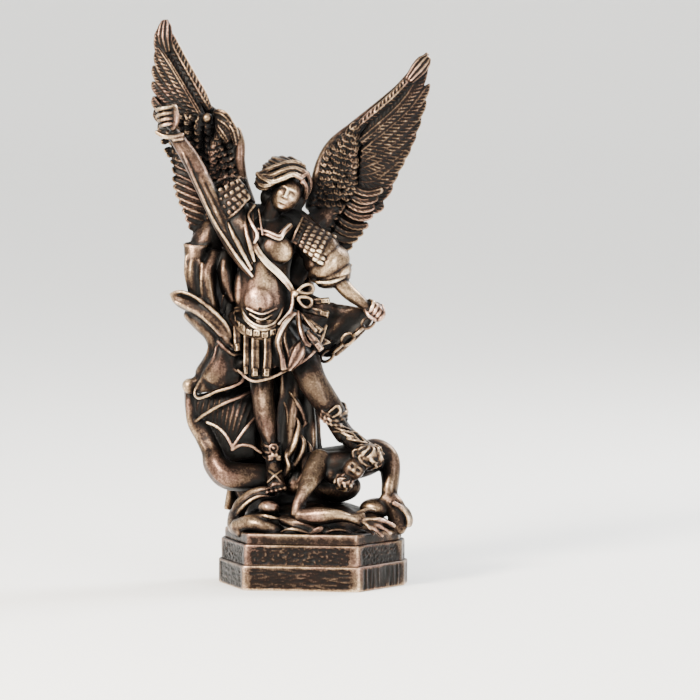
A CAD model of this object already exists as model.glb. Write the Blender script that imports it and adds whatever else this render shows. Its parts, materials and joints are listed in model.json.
"""Looks of a small cast statuette: a winged archangel in Roman armour over a demon on a stepped plinth.

It is laid out as a Blender add-on. The carving is drawn the way a sculptor squares up a front view: on a grid
of small squares, as (across, up, deep), with across counted to the right of the plinth's centre, up from the
ground line and deep away from the viewer.
"""

import json
import math

import bmesh
import bpy
import numpy as np
from bpy.props import FloatProperty, FloatVectorProperty, PointerProperty
from mathutils import Matrix, Vector

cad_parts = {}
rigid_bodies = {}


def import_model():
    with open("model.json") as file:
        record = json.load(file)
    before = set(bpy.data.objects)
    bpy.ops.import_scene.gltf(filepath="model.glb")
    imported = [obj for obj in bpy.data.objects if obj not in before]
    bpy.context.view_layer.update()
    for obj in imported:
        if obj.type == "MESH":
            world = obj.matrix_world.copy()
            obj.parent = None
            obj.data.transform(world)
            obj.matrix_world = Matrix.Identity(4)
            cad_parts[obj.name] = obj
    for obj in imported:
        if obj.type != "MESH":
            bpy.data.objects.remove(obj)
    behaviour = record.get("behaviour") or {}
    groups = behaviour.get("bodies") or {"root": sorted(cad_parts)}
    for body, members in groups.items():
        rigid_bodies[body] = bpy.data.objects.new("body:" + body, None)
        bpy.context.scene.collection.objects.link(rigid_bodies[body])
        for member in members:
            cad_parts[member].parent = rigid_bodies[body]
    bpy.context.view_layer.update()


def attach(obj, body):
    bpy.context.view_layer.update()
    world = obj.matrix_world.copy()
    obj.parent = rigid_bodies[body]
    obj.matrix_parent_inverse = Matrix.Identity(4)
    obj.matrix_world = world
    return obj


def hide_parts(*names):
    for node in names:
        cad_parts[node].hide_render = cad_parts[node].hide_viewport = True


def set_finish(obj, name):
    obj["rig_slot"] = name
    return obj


bl_info = {
    "name": "Archangel statuette",
    "version": (1, 0, 0),
    "blender": (4, 5, 0),
    "location": "View3D > Sidebar > Statuette",
    "description": "Carves a bronzed archangel statuette piece by piece and lights it",
    "category": "Object",
}

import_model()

MM = 0.001
SQUARES_UP = 513.2  # the carving's height on the grid, from the plinth's top to the tip of the higher wing
GROUND_LINE = 45.6  # where the plinth's top lies on the grid
PLINTH_TOP = 10.6 * MM  # top of the plinth's second step, where the carving starts
TURN = math.radians(8.5)  # the view that is drawn lies this far to the right of the plinth's front
LEAN = math.radians(4.7)  # and looks down this far

DEEP = np.array((0.0, 1.0, 0.0))
UP = np.array((0.0, 0.0, 1.0))
TAU = 2 * math.pi


def through(points, count):
    """A smooth line of count rows through the given rows, by Catmull-Rom."""
    p = np.asarray(points, float)
    if len(p) == 1:
        return np.repeat(p, count, 0)
    p = np.vstack([2 * p[0] - p[1], p, 2 * p[-1] - p[-2]])
    t = np.linspace(0, len(p) - 3, count)
    i = np.minimum(t.astype(int), len(p) - 4)
    t = (t - i)[:, None]
    a, b, c, d = p[i], p[i + 1], p[i + 2], p[i + 3]
    return 0.5 * (2 * b + (c - a) * t + (2 * a - 5 * b + 4 * c - d) * t**2 + (3 * b - 3 * c + d - a) * t**3)


def to_xyz(rows):
    """(across, up, deep) to (x, y, z), still in squares."""
    return np.asarray(rows, float)[..., [0, 2, 1]]


def unit(v):
    """Vectors brought to length 1."""
    return v / np.maximum(np.linalg.norm(v, axis=-1, keepdims=True), 1e-9)


def bump(distance, width):
    """A smooth hill that is 1 at distance 0."""
    return np.exp(-((distance / width) ** 2))


def grain(points, cell, seed=0.0):
    """Smooth lattice noise from -1 to 1 at an array of points, with cells of the given size."""
    q = points / cell
    low = np.floor(q)
    f = q - low
    f = f * f * (3 - 2 * f)
    total = 0.0
    for corner in range(8):
        step = np.array([(corner >> k) & 1 for k in range(3)])
        h = np.sin((low + step) @ np.array((127.1, 311.7, 74.7)) + seed * 17.3) * 43758.5453
        weight = np.prod(np.where(step, f, 1 - f), axis=1)
        total = total + weight * (h - np.floor(h))
    return 2 * total - 1


class Clay:
    """Collects closed forms, in squares, until they are fused."""

    def __init__(self):
        self.points, self.quads, self.tris = [], [], []
        self.size = 0

    def rings(self, rings):
        """A closed skin over rings of equal length, with a pole at each end."""
        n, m = rings.shape[:2]
        self.points.append(np.vstack([rings.reshape(-1, 3), rings[0].mean(0), rings[-1].mean(0)]))
        i, j = np.meshgrid(np.arange(n - 1), np.arange(m), indexing="ij")
        k = (j + 1) % m
        quads = np.stack([i * m + j, i * m + k, (i + 1) * m + k, (i + 1) * m + j], -1).reshape(-1, 4)
        j = np.arange(m)
        k = (j + 1) % m
        first = np.stack([np.full(m, n * m), k, j], -1)
        last = np.stack([np.full(m, n * m + 1), (n - 1) * m + j, (n - 1) * m + k], -1)
        self.quads.append(quads + self.size)
        self.tris.append(np.vstack([first, last]) + self.size)
        self.size += n * m + 2

    def tube(self, rows, count=24, sides=16, facing=DEEP, relief=None, cap=0.7, lean=0.0):
        """A rounded limb through rows of (across, up, deep, half width[, half depth]).

        The half width lies in the plane that faces the viewer. relief(s, a, w) pushes the skin out, in
        squares, where s runs along the limb, a is the angle round it, with -90 degrees to the front, and w
        is the half width. lean tips the cross-section, so that one edge comes forward.
        """
        rows = np.array([tuple(r) + (r[3],) * (5 - len(r)) for r in rows], float)
        line = through(rows, count)
        centre = to_xyz(line[:, :3])
        along = unit(np.gradient(centre, axis=0))
        side = unit(np.cross(along, facing))
        back = np.cross(side, along)
        back *= np.sign(back @ facing)[:, None]
        if lean:
            keep, turn = math.cos(lean), math.sin(lean)
            side, back = side * keep + back * turn, back * keep - side * turn
        a = np.linspace(0, TAU, sides, endpoint=False)
        s = np.linspace(0, 1, count)[:, None]
        wide = np.maximum(line[:, 3], 0.2)[:, None]
        thick = np.maximum(line[:, 4], 0.2)[:, None]
        push = relief(s, a[None, :], wide) if relief else 0.0
        rings = (
            centre[:, None]
            + side[:, None] * ((wide + push) * np.cos(a))[..., None]
            + back[:, None] * ((thick + push) * np.sin(a))[..., None]
        )
        reach = cap * np.minimum(line[:, 3], line[:, 4])
        ends = []
        for end, sign in ((0, -1), (-1, 1)):
            turns = [math.radians(d) for d in (25, 50, 70, 86)]
            ends.append([
                centre[end] + (rings[end] - centre[end]) * math.cos(t)
                + sign * along[end] * reach[end] * math.sin(t)
                for t in turns
            ])
        rings = np.concatenate([np.array(ends[0][::-1]), rings, np.array(ends[1])])
        if np.linalg.det(np.array([side[0], back[0], along[0]])) < 0:
            rings = rings[:, ::-1]
        self.rings(rings)

    def ball(self, centre, radii, lean=0.0, count=20, sides=28, relief=None):
        """An ellipsoid with radii (across, up, deep), leaned clockwise in the front view by lean degrees.

        relief(x, z, y) pushes the skin out, in squares, from the place on the unleaned ellipsoid.
        """
        t = np.linspace(0.08, math.pi - 0.08, count)[:, None]
        a = np.linspace(0, TAU, sides, endpoint=False)[None, :]
        x = radii[0] * np.sin(t) * np.cos(a)
        y = radii[2] * np.sin(t) * np.sin(a)
        z = -radii[1] * np.cos(t) * np.ones_like(a)
        if relief:
            grow = 1 + relief(x, z, y) / np.sqrt(x * x + y * y + z * z)
            x, y, z = x * grow, y * grow, z * grow
        turn = math.radians(lean)
        x, z = x * math.cos(turn) + z * math.sin(turn), z * math.cos(turn) - x * math.sin(turn)
        self.rings(np.stack([x, y, z], -1) + to_xyz(centre))

    def sheet(self, rows, thick, across=30, down=30, ripple=None):
        """A slab of cloth through a net of (across, up, deep) points; ripple(u, v) moves it off its face."""
        net = np.array([through(to_xyz(r), across) for r in rows])
        net = np.stack([through(net[:, j], down) for j in range(across)], 1)
        normal = unit(np.cross(np.gradient(net, axis=1), np.gradient(net, axis=0)))
        normal *= np.where((normal @ DEEP) > 0, -1, 1)[..., None]
        if ripple:
            u = np.linspace(0, 1, across)[None, :]
            v = np.linspace(0, 1, down)[:, None]
            net = net + normal * (ripple(u, v) + 0 * u * v)[..., None]
        round_off = [np.sqrt(1 - np.abs(np.linspace(-0.985, 0.985, n)) ** 9) for n in (down, across)]
        half = normal * (thick / 2 * round_off[0][:, None] * round_off[1][None, :])[..., None]
        front, back = net + half, net - half
        rings = np.concatenate([front, back[:, ::-1]], 1)
        middle = rings[len(rings) // 2]
        spin = np.cross(middle - middle.mean(0), np.roll(middle, -1, 0) - middle.mean(0)).sum(0)
        if spin @ (rings[-1].mean(0) - rings[0].mean(0)) < 0:
            rings = rings[:, ::-1]
        self.rings(rings)

    def strap(self, rows, count=30, sides=20, edge=0.9):
        """A flat band with a raised hem along both sides."""
        self.tube(rows, count, sides, cap=0.4,
                  relief=lambda s, a, w: -edge * bump(np.cos(a), 0.62) * (np.sin(a) < 0))

    def plates(self, corners, bulge, columns, lines, thick=5.0):
        """Small raised plates laid in rows, with dark joints, over a bulging four-cornered patch."""
        a, b, c, d = (np.array(p, float) for p in corners)

        def spot(u, v, out=0.0):
            flat = (a * (1 - u) + b * u) * (1 - v) + (d * (1 - u) + c * u) * v
            dome = (6.0 * u * (1 - u) * v * (1 - v)) ** 0.6 if 0 < u < 1 and 0 < v < 1 else 0.0
            return flat - np.array((0, 0, bulge * 1.6 * dome + out))

        self.sheet([[spot(u, v) for u in np.linspace(0, 1, 9)] for v in np.linspace(0, 1, 9)], thick, 24, 24)
        for j in range(lines):
            shift = 0.25 * (j % 2)
            half = 0.43 * np.linalg.norm(spot(0.5, (j + 1) / lines) - spot(0.5, j / lines))
            for i in range(columns):
                u0, u1 = (i + 0.24 + shift) / columns, min((i + 0.76 + shift) / columns, 0.98)
                row = [(*spot(u, (j + 0.5) / lines, thick / 2 - 0.2), half, 1.7)
                       for u in (u0, (u0 + u1) / 2, u1)]
                self.tube(row, count=8, sides=16, cap=0.35)


def folds(count, depth, phase=0.0, bend=0.0, sharp=1.0):
    """Parallel folds that run down a sheet and may drift sideways; sharp below 1 narrows their ridges."""
    def wave(u, v):
        swing = np.sin(TAU * (count * (u + bend * v) + phase))
        return depth * (2 * ((swing + 1) / 2) ** (1 / sharp) - 1)
    return wave


def strands(count, depth, twist=0.0):
    """Ridges that run along a lock, tongue or limb."""
    return lambda s, a, w: depth * np.sin(count * a + twist * s)


def winding(count, depth, twist):
    """Low forms that wind round a limb or a roll of cloth and fade at both of its ends."""
    return lambda s, a, w: depth * np.sin(count * a + twist * s) * np.sin(math.pi * s)


HEAD = (-26.0, 388.0, -12.0)
HEAD_LEAN = 25.0
LINKS = 5  # in the chain between the fist and the skirt


def face_relief(x, z, y):
    """A calm, regular face on the front of the head's ellipsoid, with its eyes half way up."""
    side = np.abs(x)
    front = np.clip(-y / 12.0, 0, 1)
    form = -2.0 * bump(side - 4.9, 2.7) * bump(z - 1.6, 2.0)
    form += 1.5 * bump(side - 4.9, 2.1) * bump(z - 1.2, 1.2)
    form += 0.9 * bump(side - 5.0, 3.4) * bump(z - 4.6, 1.2)
    form += 0.8 * bump(side - 7.0, 3.2) * bump(z + 3.0, 3.2)
    ridge = np.clip((4.5 - z) / 9.0, 0, 1) * np.clip((z + 5.6) / 1.3, 0, 1)
    form += (1.0 + 3.0 * ridge) * bump(x, 1.5) * (z > -6) * (z < 5)
    form += 1.1 * bump(side - 1.9, 1.0) * bump(z + 4.4, 1.0)
    form += 1.3 * bump(x, 3.2) * (bump(z + 8.0, 0.8) + bump(z + 10.2, 0.9))
    form -= 0.7 * bump(x, 3.0) * bump(z + 9.1, 0.45)
    form -= 0.8 * bump(x, 3.0) * bump(z + 12.0, 0.9)
    form += 1.6 * bump(x, 3.4) * bump(z + 15.0, 2.2)
    return form * front


def hair_waves(x, z, y):
    """Fine strands that sweep over the crown, with a slow wave in them."""
    line = z + 0.22 * x + 1.3 * np.sin(0.24 * x + 0.1 * y)
    return 0.75 * np.sin(TAU * line / 3.9) + 0.8 * np.sin(TAU * line / 11.0 + 0.8)


def carve_head(clay):
    """Bowed head, its neck, and the waves of hair that sweep from a parting to a roll at the left."""
    clay.tube([(-48, 350, 0, 12, 11), (-43, 364, -4, 9.5, 9), (-37, 378, -8, 9, 9)], count=14,
              relief=lambda s, a, w: 0.9 * bump(a - 4.2, 0.35))
    clay.ball(HEAD, (14.2, 20.5, 18), lean=HEAD_LEAN, count=80, sides=100, relief=face_relief)
    clay.ball((-28, 405, -3), (24.5, 20.5, 20), lean=14, count=90, sides=120, relief=hair_waves)
    clay.ball((-22, 386, 8), (16, 18, 12))
    clay.ball((-40, 384, 4), (13, 13, 12))
    locks = (
        [(-12, 403, -26), (-20, 406, -30), (-30, 402, -31), (-40, 399, -27), (-49, 402, -20),
         (-55, 407, -12)],
        [(-10, 409, -23), (-20, 412, -27), (-31, 409, -28), (-41, 405, -24), (-50, 405, -17), (-55, 402, -9)],
        [(-9, 414, -19), (-20, 418, -23), (-33, 415, -24), (-44, 411, -19), (-52, 407, -12)],
        [(-37, 400, -28), (-44, 396, -24), (-51, 396, -18), (-55, 400, -12)],
        [(-41, 397, -24), (-47, 393, -20), (-53, 394, -14), (-56, 398, -8)],
        [(-12, 404, -26), (-7, 407, -22), (-4, 401, -17), (-4, 394, -12), (-6, 388, -8)],
        [(-11, 400, -25), (-8, 396, -20), (-7, 390, -14), (-8, 384, -8)],
    )
    for lock in locks:
        clay.tube([p + (2.9, 3.2) for p in lock], count=50, sides=30, relief=strands(7, 0.55, 5))


def carve_trunk(clay):
    """Muscled cuirass with its collar, baldric, belt and the key border that hangs under the belt."""
    clay.tube([(-44, 240, 3, 33, 26), (-47, 262, -1, 31, 24), (-49, 285, -4, 28, 22), (-49, 310, -4, 26, 22),
               (-47, 332, -2, 28, 23), (-43, 350, 2, 30, 20), (-45, 364, 4, 16, 13)], count=40, sides=48)
    clay.tube([(-78, 366, 6, 13, 12), (-50, 364, 8, 14, 13), (-24, 362, 8, 15, 13), (-2, 346, 6, 14, 13)],
              count=20)
    clay.tube([(-22, 300, 20, 12, 8), (-12, 320, 22, 14, 8), (-4, 340, 18, 12, 10)], count=16)
    clay.ball((-36, 332, -20), (17, 15, 8.5), lean=16)
    clay.ball((-63, 331, -17), (12, 14, 8), lean=-10)
    clay.ball((-52, 281, -16), (18, 20, 12.5), count=50, sides=50,
              relief=lambda x, z, y: -1.8 * bump(np.hypot(x + 0.5, z + 9), 1.5) * (y < 0))
    clay.ball((-51, 306, -17), (17, 12, 8.5))
    clay.ball((-72, 292, -9), (7, 20, 8))
    for up in (315, 306, 298):
        clay.tube([(-73, up - 6, -11, 1.5), (-68, up - 1, -17, 1.6), (-62, up - 2, -21, 1.3)], count=10,
                  sides=8)
    for up, wide in ((269, 15), (263.5, 12)):
        clay.tube([(-51 - wide, up + 4, -23, 1.2), (-51, up - 1.5, -28.5, 1.3),
                   (-51 + wide, up + 4, -23, 1.2)], count=24, sides=10)
    rim = [(-78, 272, -8), (-71, 272, -14), (-67, 264, -22), (-59, 256.5, -27), (-49, 253.5, -29),
           (-39, 256.5, -28), (-33, 264, -24), (-29, 273, -18), (-24, 279, -10)]
    for drop, size in ((1.6, 1.3), (-1.8, 1.5)):
        clay.tube([(a, u + drop, d - 1.5, size) for a, u, d in rim], count=60, sides=10)
    border = [(-80, 268, -4), (-76, 260, -12), (-67, 252, -22), (-55, 247.5, -28), (-41, 248, -29),
              (-32, 253, -26), (-26, 262, -19), (-21, 272, -10)]
    clay.tube([p + (6.0, 2.6) for p in border], count=60, sides=16)
    line = through(to_xyz([(a, u, d - 3.0) for a, u, d in border]), 160)
    length = np.concatenate([[0], np.cumsum(np.linalg.norm(np.diff(line, axis=0), axis=1))])
    for k, start in enumerate(np.arange(4, length[-1] - 8, 8.6)):
        key_mark(clay, line, length, start, flip=k % 2)
    for up in (0, -3.4):
        clay.tube([(-57, 353 + up, -22, 1.3), (-44, 349 + up, -27, 1.4), (-33, 345 + up, -29, 1.4),
                   (-28, 351 + up, -27, 1.3), (-22, 357 + up, -22, 1.2)], count=30, sides=10)
    clay.tube([(-56, 350.5, -20, 4, 2), (-44, 347, -25, 4, 2), (-33, 343, -27, 4, 2)], count=20)
    clay.tube([(-32, 345, -26, 3.6, 2), (-28, 350, -25, 3.4, 2), (-22, 356, -20, 3.4, 2)], count=14)
    clay.strap([(-62, 378, -12, 2.4, 1.6), (-61, 364, -19, 2.6, 1.6), (-60, 346, -25, 2.9, 1.6),
                (-55, 331, -29, 3.2, 1.6), (-45, 318, -31, 3.4, 1.8), (-34, 308, -30, 3.6, 1.8),
                (-26, 299, -27, 3.4, 1.8), (-20, 290, -21, 3.0, 1.6)], count=60)
    clay.tube([(-58, 376, -16, 1.5), (-64, 366, -21, 1.7), (-60, 356, -27, 1.9), (-55, 346, -30, 1.9),
               (-58, 338, -30, 1.6)], count=40, sides=12)
    clay.tube([(-54, 372, -16, 1.2), (-52, 358, -22, 1.3), (-50, 346, -28, 1.2)], count=20, sides=8)


def key_mark(clay, line, length, start, flip):
    """One squared hook of the key border, laid on the curved line start squares along it."""
    marks = ((0, -3), (0, 3), (5.2, 3), (5.2, -1.6), (2.4, -1.6), (2.4, 1.0))
    path = []
    for run, rise in marks:
        at = start + (5.2 - run if flip else run)
        x, y, z = (np.interp(at, length, line[:, k]) for k in range(3))
        path.append((x, z + (-rise if flip else rise), y - 1.0))
    for (x0, z0, y0), (x1, z1, y1) in zip(path, path[1:]):
        clay.tube([(x0, z0, y0, 0.75), (x1, z1, y1, 0.75)], count=4, sides=6, cap=1.0)


def carve_raised_arm(clay):
    """The arm held up before the wing, its fist closed on nothing, and the sleeve that ends in a point."""
    clay.tube([(-139, 447, -5, 6.8, 6.5), (-131, 436, -4, 7.6, 7.5), (-120, 419, -4, 8.6, 9),
               (-106, 391, -6, 9.5, 10), (-92, 362, -9, 10.5, 12), (-79, 336, -14, 9.5, 11),
               (-68, 317, -20, 6, 8), (-61, 306, -24, 2.6, 3.4)], count=70, sides=40,
              relief=lambda s, a, w: 0.8 * np.sin(2 * a + 7 * s) * np.sin(math.pi * s)
              + 0.9 * bump(a - 5.3, 0.22) * (s > 0.35) - 0.9 * bump(a - 5.0, 0.18) * (s > 0.4))
    clay.ball((-142.5, 462, -5), (6.5, 12, 8), lean=-12)
    for i in range(4):
        down = 5.3 * i
        clay.tube([(-141 + 0.8 * i, 473 - down, -11, 2.2), (-147 + 0.8 * i, 472.5 - down, -15, 2.2),
                   (-154 + 1.2 * i, 471 - down, -12, 2.2), (-155 + 1.2 * i, 470.5 - down, -5, 2.2),
                   (-151 + 1.2 * i, 471 - down, 0, 2.2)], count=18, sides=12)
    clay.tube([(-139, 474, -8, 4, 4), (-137, 462, -9, 4.5, 5), (-140, 452, -9, 3.5, 4)], count=12, sides=12)
    clay.tube([(-156, 449, -10, 2.3), (-149, 445, -13, 2.6), (-140, 444, -13, 2.6), (-130, 446, -9, 2.6)],
              count=16, sides=12)
    clay.tube([(-139, 441, -13, 2.0), (-130, 442, -10, 2.0)], count=8, sides=10)
    clay.tube([(-135, 440, -8, 1.4), (-126, 421, -11, 1.6), (-114, 394, -13, 1.8), (-99, 362, -19, 2.0),
               (-84, 338, -25, 2.0), (-71, 319, -29, 1.9), (-60, 305, -28, 1.4)], count=70, sides=14)
    clay.tube([(-80, 376, -2, 14, 14), (-72, 354, -9, 12.5, 15), (-65, 332, -16, 9, 11),
               (-60, 312, -22, 3.4, 4)], count=50, sides=50,
              relief=lambda s, a, w: 1.3 * np.sin(5 * a + 2.5 * s) * (0.25 + s))
    for path in ([(-84, 358, -22, 1.6), (-79, 346, -25, 2.6), (-71, 331, -27, 2.8), (-61, 312, -28, 1.6)],
                 [(-68, 365, -19, 1.6), (-66, 350, -24, 3.0), (-62, 334, -27, 2.8), (-58, 320, -29, 1.4)]):
        clay.tube(path, count=40, sides=16)
    clay.tube([(-72, 345, 4, 16, 14), (-70, 330, 2, 12, 14)], count=12)


def sleeve_folds(s, a, w):
    """Rolls round the sleeve that fan out from the armpit and grow towards the hem."""
    roll = np.abs(np.sin(math.pi * (3.2 * s + 0.5 + 0.28 * np.cos(a - 0.5)))) ** 0.75
    return (2.6 * roll - 1.6) * (0.45 + 0.55 * s) + 0.5 * np.sin(5 * a + 14 * s)


def carve_chain_arm(clay):
    """The lowered arm in its wide sleeve, its fist, and the chain that it holds."""
    clay.tube([(-10, 344, 2, 17, 16), (5, 330, 0, 15, 14), (19, 316, -5, 12, 11), (30, 304, -9, 9, 9)],
              count=20)
    clay.tube([(22, 306, -9, 8.5, 9), (34, 291, -12, 7.2, 8), (46, 281, -15, 6.2, 7), (56, 273, -17, 5.2, 6)],
              count=24, sides=24, relief=strands(2, 0.5, 5))
    clay.tube([(-6, 345, 0, 15, 16), (5, 334, -3, 19, 19), (13, 321, -6, 22, 20), (18, 309, -8, 21, 17),
               (20, 302, -8, 17, 12)], count=90, sides=110,
              relief=sleeve_folds)
    clay.tube([(-1, 301, -14, 1.4), (6, 299, -21, 1.8), (20, 300, -23, 1.9), (32, 306, -16, 1.8),
               (38, 317, -6, 1.4)], count=40, sides=14)
    clay.ball((61, 271, -14), (7.5, 9.5, 8), lean=30)
    for i in range(4):
        t = i * 4.6
        clay.tube([(56 + 0.9 * t, 281 - 0.35 * t, -17, 2.2), (60 + 0.75 * t, 279 - 0.8 * t, -23, 2.3),
                   (58 + 0.7 * t, 272 - 0.65 * t, -25, 2.2), (55 + 0.6 * t, 268 - 0.5 * t, -21, 2.0)],
                  count=16, sides=12)
    clay.tube([(52, 272, -20, 2.6), (56, 266, -24, 2.4), (62, 262, -24, 2.2)], count=10, sides=12)
    start, end = np.array((55.0, 259.0, -7.0)), np.array((14.0, 226.0, 0.0))
    along = unit(end - start)
    for i in range(LINKS):
        centre = start + (end - start) * i / (LINKS - 1)
        flat = i % 2 == 0
        side = unit(np.cross(along, (0.0, 0.0, 1.0))) if flat else unit(np.array((0.0, 0.35, 1.0)))
        a = np.linspace(0, TAU, 17)
        ring = centre + np.outer(np.cos(a) * 7.4, along) + np.outer(np.sin(a) * 4.8, side)
        clay.tube([tuple(p) + (1.8,) for p in ring], count=40, sides=12, facing=UP if flat else DEEP)


def carve_upper(clay):
    """The figure above the belt, with the plates that hang over both shoulders."""
    carve_trunk(clay)
    carve_raised_arm(clay)
    carve_chain_arm(clay)
    carve_head(clay)
    clay.plates([(-102, 388, -5), (-72, 402, -3), (-61, 384, -13), (-84, 362, -17)], 8, 5, 4)
    clay.tube([(-86, 361, -19, 1.2), (-76, 369, -22, 1.5), (-63, 383, -17, 1.2)], count=20, sides=10)
    clay.tube([(-102, 386, -8, 2.0), (-98, 397, -4, 2.2), (-84, 404, -2, 2.2), (-68, 402, -4, 2.0)], count=30,
              sides=12, relief=lambda s, a, w: 0.7 * np.sin(TAU * 7 * s))
    clay.plates([(-20, 339, -17), (-10, 362, -6), (24, 345, -8), (8, 313, -24)], 9, 7, 6)
    clay.tube([(-22, 337, -20, 1.3), (-17, 349, -22, 1.5), (-10, 364, -14, 1.2)], count=20, sides=10)


def carve_kilt(clay):
    """Kilt of hanging straps, flaring to the right, and the knotted sash over it."""
    count, sides = 30, 160
    a = np.linspace(0, TAU, sides, endpoint=False)
    rings = []
    for t in np.linspace(0, 1, count):
        wide, thick = 31 + 14 * t, 25 + 10 * t
        pleat = 1.0 + (0.015 + 0.03 * t) * np.cos(17 * a)
        x = -46 + 20 * t + wide * pleat * np.cos(a)
        y = thick * pleat * np.sin(a)
        z = 262 - 38 * t + 17 * t * np.cos(a) - 6 * t * np.sin(a) ** 2
        rings.append(np.stack([x, y, z], -1))
    clay.rings(np.array(rings)[::-1])
    straps = (
        ([(-76, 256, -14), (-75, 243, -20), (-74, 231, -24)], 4.2),
        ([(-66, 247, -22), (-66, 228, -30), (-66, 208, -34)], 3.2),
        ([(-57, 244, -27), (-57, 225, -34), (-57, 206, -38)], 4.5),
        ([(-44.5, 245, -29), (-44.5, 226, -36), (-46, 206, -40)], 4.5),
        ([(-13, 266, -18), (-3, 258, -27), (8, 250, -30)], 4.2),
        ([(-10, 273, -14), (2, 270, -23), (15, 267, -23)], 4.0),
        ([(-10, 280, -10), (3, 280, -18), (16, 281, -17)], 3.6),
        ([(-6, 250, -30), (2, 240, -35), (8, 232, -36)], 4.0),
    )
    for strap, half in straps:
        clay.strap([p + (half, 2.4) for p in strap], count=30, sides=30, edge=1.1)
        foot, above = np.array(strap[-1], float), np.array(strap[1], float)
        fall = unit(foot - above)
        cross = np.array((-fall[1], fall[0], 0.0)) * half * 0.45
        for rise in (3.0, 7.0):
            spot = foot - fall * rise - (0, 0, 3.0)
            frame_path = [spot - cross, spot + cross, spot + cross + fall * 2.4, spot - cross + fall * 2.4,
                          spot - cross]
            for p, q in zip(frame_path, frame_path[1:]):
                clay.tube([(*p, 0.8), (*q, 0.8)], count=4, sides=8, cap=1.0)
    for centre, wide, high, lean in (((-7, 292, -21), 7.5, 4.2, -12), ((-8, 280, -24), 7.0, 4.6, 28)):
        turn = math.radians(lean)
        ring = []
        for t in np.linspace(0, TAU, 13):
            x, z = wide * math.cos(t), high * math.sin(t) * (1 + 0.35 * math.cos(t))
            ring.append((centre[0] + x * math.cos(turn) + z * math.sin(turn),
                         centre[1] + z * math.cos(turn) - x * math.sin(turn), centre[2] + 1.5 * math.cos(t),
                         1.9, 1.7))
        clay.tube(ring, count=60, sides=16)
    clay.ball((-17, 287, -20), (4.5, 5.5, 5))
    sash = (
        [(-21, 292, -20, 1.6), (-20, 280, -25, 1.8), (-23, 270, -28, 1.8), (-34, 257, -33, 1.6)],
        [(-18, 268, -26, 2.6), (-28, 256, -35, 3.0), (-34, 241, -39, 3.2), (-31, 226, -40, 3.0),
         (-29, 213, -40, 3.6)],
        [(-15, 270, -24, 2.4), (-13, 254, -33, 3.0), (-8, 240, -37, 3.0), (-3, 236, -36, 2.4)],
        [(-12, 268, -24, 1.8), (-4, 258, -32, 2.2), (3, 250, -34, 2.0)],
        [(-24, 262, -30, 1.4), (-28, 244, -37, 1.8), (-24, 228, -39, 1.8), (-22, 214, -39, 1.6)],
    )
    for strand in sash:
        clay.tube(strand, count=50, sides=24, cap=0.5, relief=strands(4, 0.45, 4))
    clay.tube([(-11, 240, -34, 3, 3), (-14, 232, -38, 7.5, 5), (-19, 221, -39, 6.5, 4),
               (-23, 213, -38, 3, 3)], count=30, sides=40, relief=strands(6, 0.55, 2))
    hem = [(-74, 212, -29), (-65, 204, -36), (-56, 201, -39), (-40, 205, -40), (-26, 212, -38),
           (-14, 218, -37), (-2, 227, -35), (7, 239, -32), (13, 256, -26)]
    clay.tube([p + (1.7,) for p in hem], count=70, sides=12)


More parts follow.
